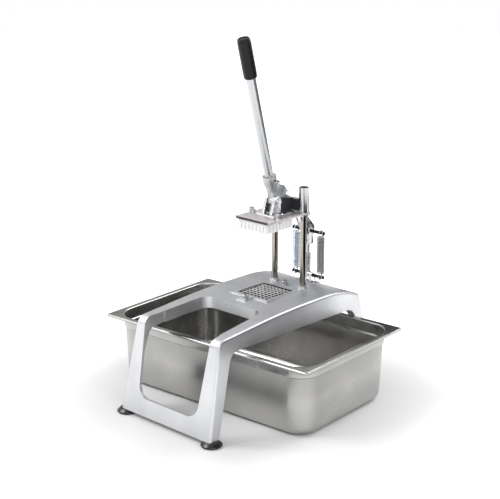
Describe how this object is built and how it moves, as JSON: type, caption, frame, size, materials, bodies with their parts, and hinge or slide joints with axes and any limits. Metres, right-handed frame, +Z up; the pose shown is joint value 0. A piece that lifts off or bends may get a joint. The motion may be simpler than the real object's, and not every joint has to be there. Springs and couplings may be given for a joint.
{
  "type": "french fry cutter",
  "caption": "Lever press that pushes a potato through a square blade grid, on an arched cast stand over a deep food pan.",
  "frame": {"origin": "on the floor, under the middle plane of the two posts and of the cutting grid, at the pan's flat bottom", "axes": "+X across the stand to the right, +Y to the back where the posts and springs stand, +Z up"},
  "size_m": [0.5484, 0.5225, 0.7418],
  "materials": {
    "cast_aluminium": "satin",
    "black_rubber": "semi-gloss",
    "zinc_steel": "bright zinc",
    "chrome_steel": "polished",
    "stainless": "brushed",
    "dark_steel": "black oxide",
    "dark_casting": "satin dark grey",
    "grey_steel": "turned",
    "bronze": "machined",
    "white_plastic": "satin",
    "black_plastic": "fine grain",
    "dark_plastic": "satin",
    "spring_steel": "bright"
  },
  "bodies": {
    "base": {"stand_casting": "cast_aluminium", "rubber_feet": "black_rubber", "foot_screws": "zinc_steel", "guide_post_left": "chrome_steel", "guide_post_right": "chrome_steel", "post_nuts": "zinc_steel", "grid_frame": "stainless", "blades_across": "stainless", "blades_along": "stainless", "grid_screws": "chrome_steel", "spring_bracket": "dark_steel", "bracket_screws": "zinc_steel", "lower_rod": "dark_steel", "lower_rod_clips": "zinc_steel"},
    "carriage": {"crosshead": "dark_casting", "sleeve_left": "grey_steel", "sleeve_right": "grey_steel", "sleeve_bushes": "bronze", "pusher_plate": "dark_casting", "lever_bracket": "stainless", "pusher_block": "white_plastic", "pusher_screws": "chrome_steel", "pivot_pin": "zinc_steel", "pivot_clips": "zinc_steel"},
    "lever": {"lever_socket": "cast_aluminium", "rear_arm": "dark_steel", "arm_screws": "zinc_steel", "lever_tube": "stainless", "socket_screws": "dark_steel", "grip": "black_plastic", "grip_cap": "dark_plastic"},
    "tie_lower": {"tie_barrel": "zinc_steel", "spring_left": "spring_steel", "spring_right": "spring_steel"},
    "tie_upper": {"tie_plunger": "zinc_steel", "upper_rod": "dark_steel", "upper_rod_clips": "zinc_steel"},
    "pan": {"food_pan": "stainless"}
  },
  "joints": [
    {"name": "carriage_slide", "type": "slide", "parent": "base", "child": "carriage", "axis": [0, 0, -1], "range_m": [0, 0.138], "stiffness_N_per_m": 400, "springref_m": -0.12},
    {"name": "lever_hinge", "type": "hinge", "parent": "carriage", "child": "lever", "pos_m": [0, 0.0705, 0.402], "axis": [1, 0, 0], "range_deg": [0, 62.8]},
    {"name": "tie_swing", "type": "hinge", "parent": "base", "child": "tie_lower", "pos_m": [0, 0.182, 0.221], "axis": [-1, 0, 0], "range_deg": [0, 10.5]},
    {"name": "tie_extend", "type": "slide", "parent": "tie_lower", "child": "tie_upper", "axis": [0, 0, 1], "range_m": [0, 0.0082], "deforming": ["spring_left", "spring_right"]},
    {"name": "pan_slide", "type": "slide", "parent": "base", "child": "pan", "axis": [0.9981, 0.061, 0], "range_m": [-0.3, 0.45]}
  ],
  "couplings": [
    {"joint": "lever_hinge", "follows": "carriage_slide", "rad_per_m": 7.9299},
    {"joint": "tie_swing", "follows": "carriage_slide", "rad_per_m": 1.3153},
    {"joint": "tie_extend", "follows": "carriage_slide", "ratio": 0.057971}
  ]
}
